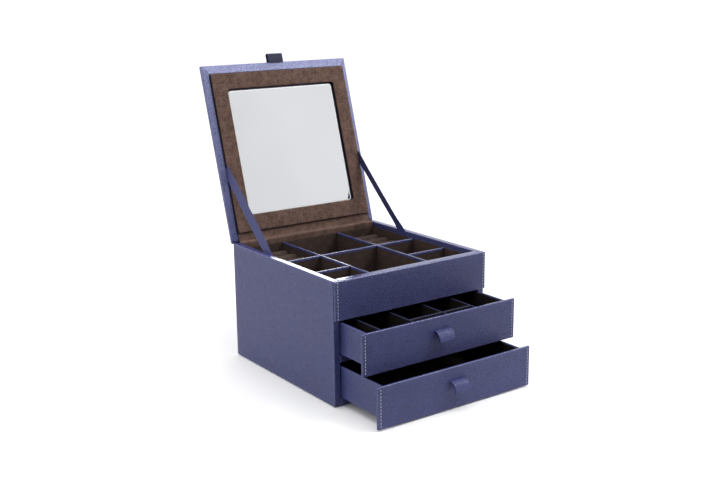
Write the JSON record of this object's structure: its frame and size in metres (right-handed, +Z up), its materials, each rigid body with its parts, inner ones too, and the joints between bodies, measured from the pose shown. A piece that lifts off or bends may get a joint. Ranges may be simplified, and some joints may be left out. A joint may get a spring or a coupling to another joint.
{
  "type": "jewelry gift box",
  "caption": "Leather-covered jewelry box with a mirrored lid on leather straps, a divided suede tray with ring rolls, and pull-out drawers with tab pulls.",
  "frame": {"origin": "centre of the case's footprint, on the surface it stands on", "axes": "+X to the right of a person facing the drawers, +Y towards the lid's hinge, +Z up; drawers pull out along -Y"},
  "size_m": [0.26, 0.4595, 0.4426],
  "materials": {
    "navy_leather": "fine pebble grain, satin",
    "ribbon_leather": "flat ribbon, satin",
    "tab_leather": "folded strip, satin",
    "brown_suede": "brushed microfibre suede",
    "mirror": "silvered glass",
    "backing_card": "plain card",
    "base_paper": "textured lining paper"
  },
  "bodies": {
    "case": {"base_sheet": "base_paper", "left_wall": "navy_leather", "right_wall": "navy_leather", "back_wall": "navy_leather", "bottom_board": "navy_leather", "drawer_shelf": "navy_leather", "front_rail": "navy_leather", "top_front_panel": "navy_leather", "tray_floor": "brown_suede", "left_tray_lining": "brown_suede", "right_tray_lining": "brown_suede", "front_tray_lining": "brown_suede", "back_tray_lining": "brown_suede", "left_long_divider": "brown_suede", "right_long_divider": "brown_suede", "cross_divider": "brown_suede", "left_short_divider": "brown_suede", "right_short_divider": "brown_suede", "left_ring_roll_1": "brown_suede", "left_ring_roll_2": "brown_suede", "left_ring_roll_3": "brown_suede", "left_ring_roll_4": "brown_suede", "right_ring_roll_1": "brown_suede", "right_ring_roll_2": "brown_suede", "right_ring_roll_3": "brown_suede", "right_ring_roll_4": "brown_suede", "left_strap": "ribbon_leather", "right_strap": "ribbon_leather", "hinge_band": "brown_suede", "spine_leather": "navy_leather"},
    "lid": {"lid_board": "navy_leather", "mirror_pad": "brown_suede", "mirror_backing": "backing_card", "mirror_glass": "mirror", "lid_tab": "tab_leather"},
    "upper_drawer": {"upper_drawer_panel": "navy_leather", "upper_drawer_left_side": "navy_leather", "upper_drawer_right_side": "navy_leather", "upper_drawer_front_board": "navy_leather", "upper_drawer_back_board": "navy_leather", "upper_drawer_bottom": "brown_suede", "upper_drawer_lining": "brown_suede", "upper_drawer_tab": "tab_leather", "upper_drawer_divider_1": "brown_suede", "upper_drawer_divider_2": "brown_suede", "upper_drawer_divider_3": "brown_suede", "upper_drawer_divider_4": "brown_suede", "upper_drawer_strip_1": "brown_suede", "upper_drawer_strip_2": "brown_suede"},
    "lower_drawer": {"lower_drawer_panel": "navy_leather", "lower_drawer_left_side": "navy_leather", "lower_drawer_right_side": "navy_leather", "lower_drawer_front_board": "navy_leather", "lower_drawer_back_board": "navy_leather", "lower_drawer_bottom": "brown_suede", "lower_drawer_lining": "brown_suede", "lower_drawer_tab": "tab_leather"}
  },
  "joints": [
    {"name": "lid_hinge", "type": "hinge", "parent": "case", "child": "lid", "pos_m": [0, 0.132, 0.174], "axis": [1, 0, 0], "range_deg": [0, 106.66], "deforming": ["left_strap", "right_strap", "hinge_band", "spine_leather"]},
    {"name": "upper_drawer_slide", "type": "slide", "parent": "case", "child": "upper_drawer", "axis": [0, -1, 0], "range_m": [-0.0602, 0.1198]},
    {"name": "lower_drawer_slide", "type": "slide", "parent": "case", "child": "lower_drawer", "axis": [0, -1, 0], "range_m": [-0.0922, 0.0878]}
  ]
}
